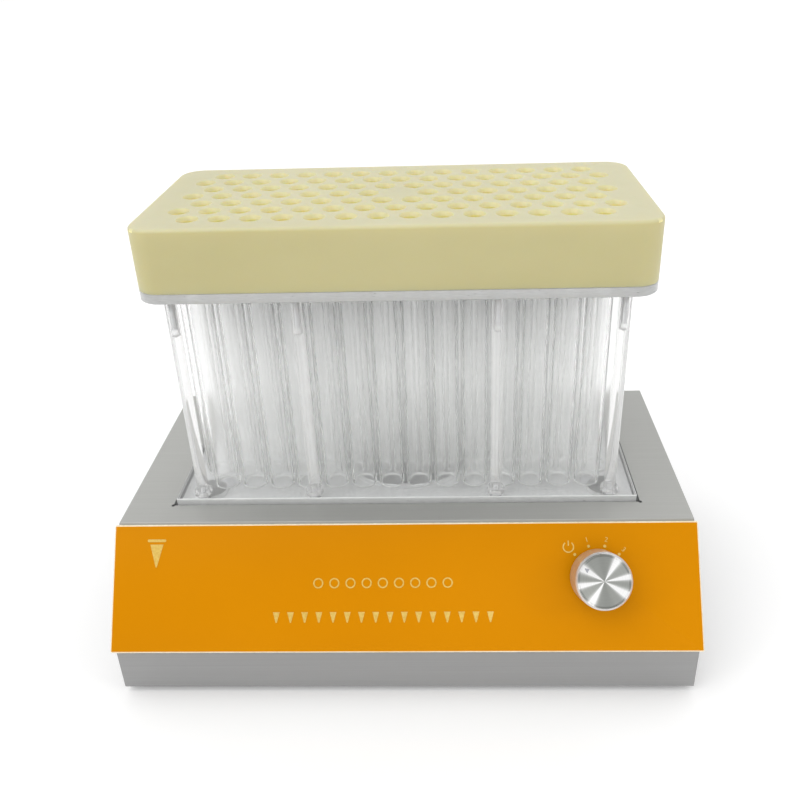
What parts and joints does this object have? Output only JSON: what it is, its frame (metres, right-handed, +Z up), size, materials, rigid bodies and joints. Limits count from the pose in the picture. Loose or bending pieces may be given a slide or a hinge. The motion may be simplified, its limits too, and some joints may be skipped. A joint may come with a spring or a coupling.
{
  "type": "vibrating cone filling machine",
  "caption": "Bench machine that shakes powder through a funnel tray into upright clear tubes on a sprung platform, with a sloped control panel and knob.",
  "frame": {"origin": "on the floor under the feet, at the middle of the outer box", "axes": "+Z up, +Y to the back, +X to the right as seen from the front panel"},
  "size_m": [0.298, 0.1789, 0.2357],
  "materials": {
    "steel_case": "brushed stainless sheet",
    "orange_panel": "glossy cast acrylic",
    "gold_print": "gold ink",
    "zinc_steel": "zinc plated",
    "rubber_black": "matt",
    "black_plastic": "moulded",
    "white_nylon": "turned",
    "circuit_board": "solder mask",
    "supply_case": "folded sheet",
    "brass_part": "plain",
    "knob_aluminium": "spun",
    "pointer_paint": "grey fill",
    "platform_aluminium": "milled",
    "clear_acrylic": "clear polished acrylic",
    "bright_steel": "bright",
    "cream_tray": "translucent cream, satin"
  },
  "bodies": {
    "base": {"housing_shell": "steel_case", "front_panel": "orange_panel", "printed_marks": "gold_print", "bottom_cover": "steel_case", "mounting_blocks": "zinc_steel", "cover_screws": "zinc_steel", "foot_front_left": "rubber_black", "foot_front_right": "rubber_black", "foot_rear_left": "rubber_black", "foot_rear_right": "rubber_black", "foot_screws": "zinc_steel", "switch_body": "black_plastic", "switch_nut": "zinc_steel", "control_board": "circuit_board", "board_components": "black_plastic", "board_standoffs": "zinc_steel", "board_screws": "zinc_steel", "power_supply": "supply_case", "power_inlet": "black_plastic", "inlet_blades": "brass_part", "inlet_screws": "zinc_steel", "fuse_holder": "black_plastic", "fuse_cap": "black_plastic", "isolator_posts": "zinc_steel", "isolator_front_left": "rubber_black", "isolator_front_right": "rubber_black", "isolator_rear_left": "rubber_black", "isolator_rear_right": "rubber_black", "inlet_leads": "black_plastic", "switch_leads": "black_plastic"},
    "knob": {"knob": "knob_aluminium", "knob_pointer": "pointer_paint", "switch_shaft": "zinc_steel"},
    "platform": {"platform_plate": "platform_aluminium", "platform_disc": "platform_aluminium", "rack_pads": "white_nylon", "isolator_screws": "zinc_steel", "motor_bracket": "zinc_steel", "bracket_screws": "zinc_steel", "motor_can": "zinc_steel", "motor_bearings": "brass_part"},
    "rotor": {"rotor_core": "zinc_steel", "rotor_shaft": "zinc_steel", "eccentric_weight_left": "zinc_steel", "eccentric_weight_right": "zinc_steel"},
    "rack": {"rack_bottom_deck": "clear_acrylic", "rack_top_deck": "clear_acrylic", "locating_pins": "bright_steel", "rods_front": "clear_acrylic", "rods_rear": "clear_acrylic", "rod_collars": "clear_acrylic", "rack_screws": "bright_steel", "tube_row_1": "clear_acrylic", "tube_row_2": "clear_acrylic", "tube_row_3": "clear_acrylic", "tube_row_4": "clear_acrylic", "tube_row_5": "clear_acrylic", "tube_row_6": "clear_acrylic", "tube_row_7": "clear_acrylic"},
    "tray": {"funnel_tray": "cream_tray"}
  },
  "joints": [
    {"name": "knob_turn", "type": "hinge", "parent": "base", "child": "knob", "pos_m": [0.0976, -0.0638, 0.06077], "axis": [0, -0.8192, 0.5736], "range_deg": [-102, 0]},
    {"name": "platform_bounce", "type": "slide", "parent": "base", "child": "platform", "axis": [0, 0, 1], "range_m": [-0.0015, 0.0015], "stiffness_N_per_m": 60000, "springref_m": 0.00045, "deforming": ["isolator_front_left", "isolator_front_right", "isolator_rear_left", "isolator_rear_right"]},
    {"name": "rotor_spin", "type": "hinge", "parent": "platform", "child": "rotor", "pos_m": [0, 0.024, 0.05], "axis": [1, 0, 0], "continuous": true},
    {"name": "rack_lift", "type": "slide", "parent": "platform", "child": "rack", "axis": [0, 0, 1], "range_m": [0, 0.1]},
    {"name": "tray_lift", "type": "slide", "parent": "rack", "child": "tray", "axis": [0, 0, 1], "range_m": [0, 0.06]}
  ]
}
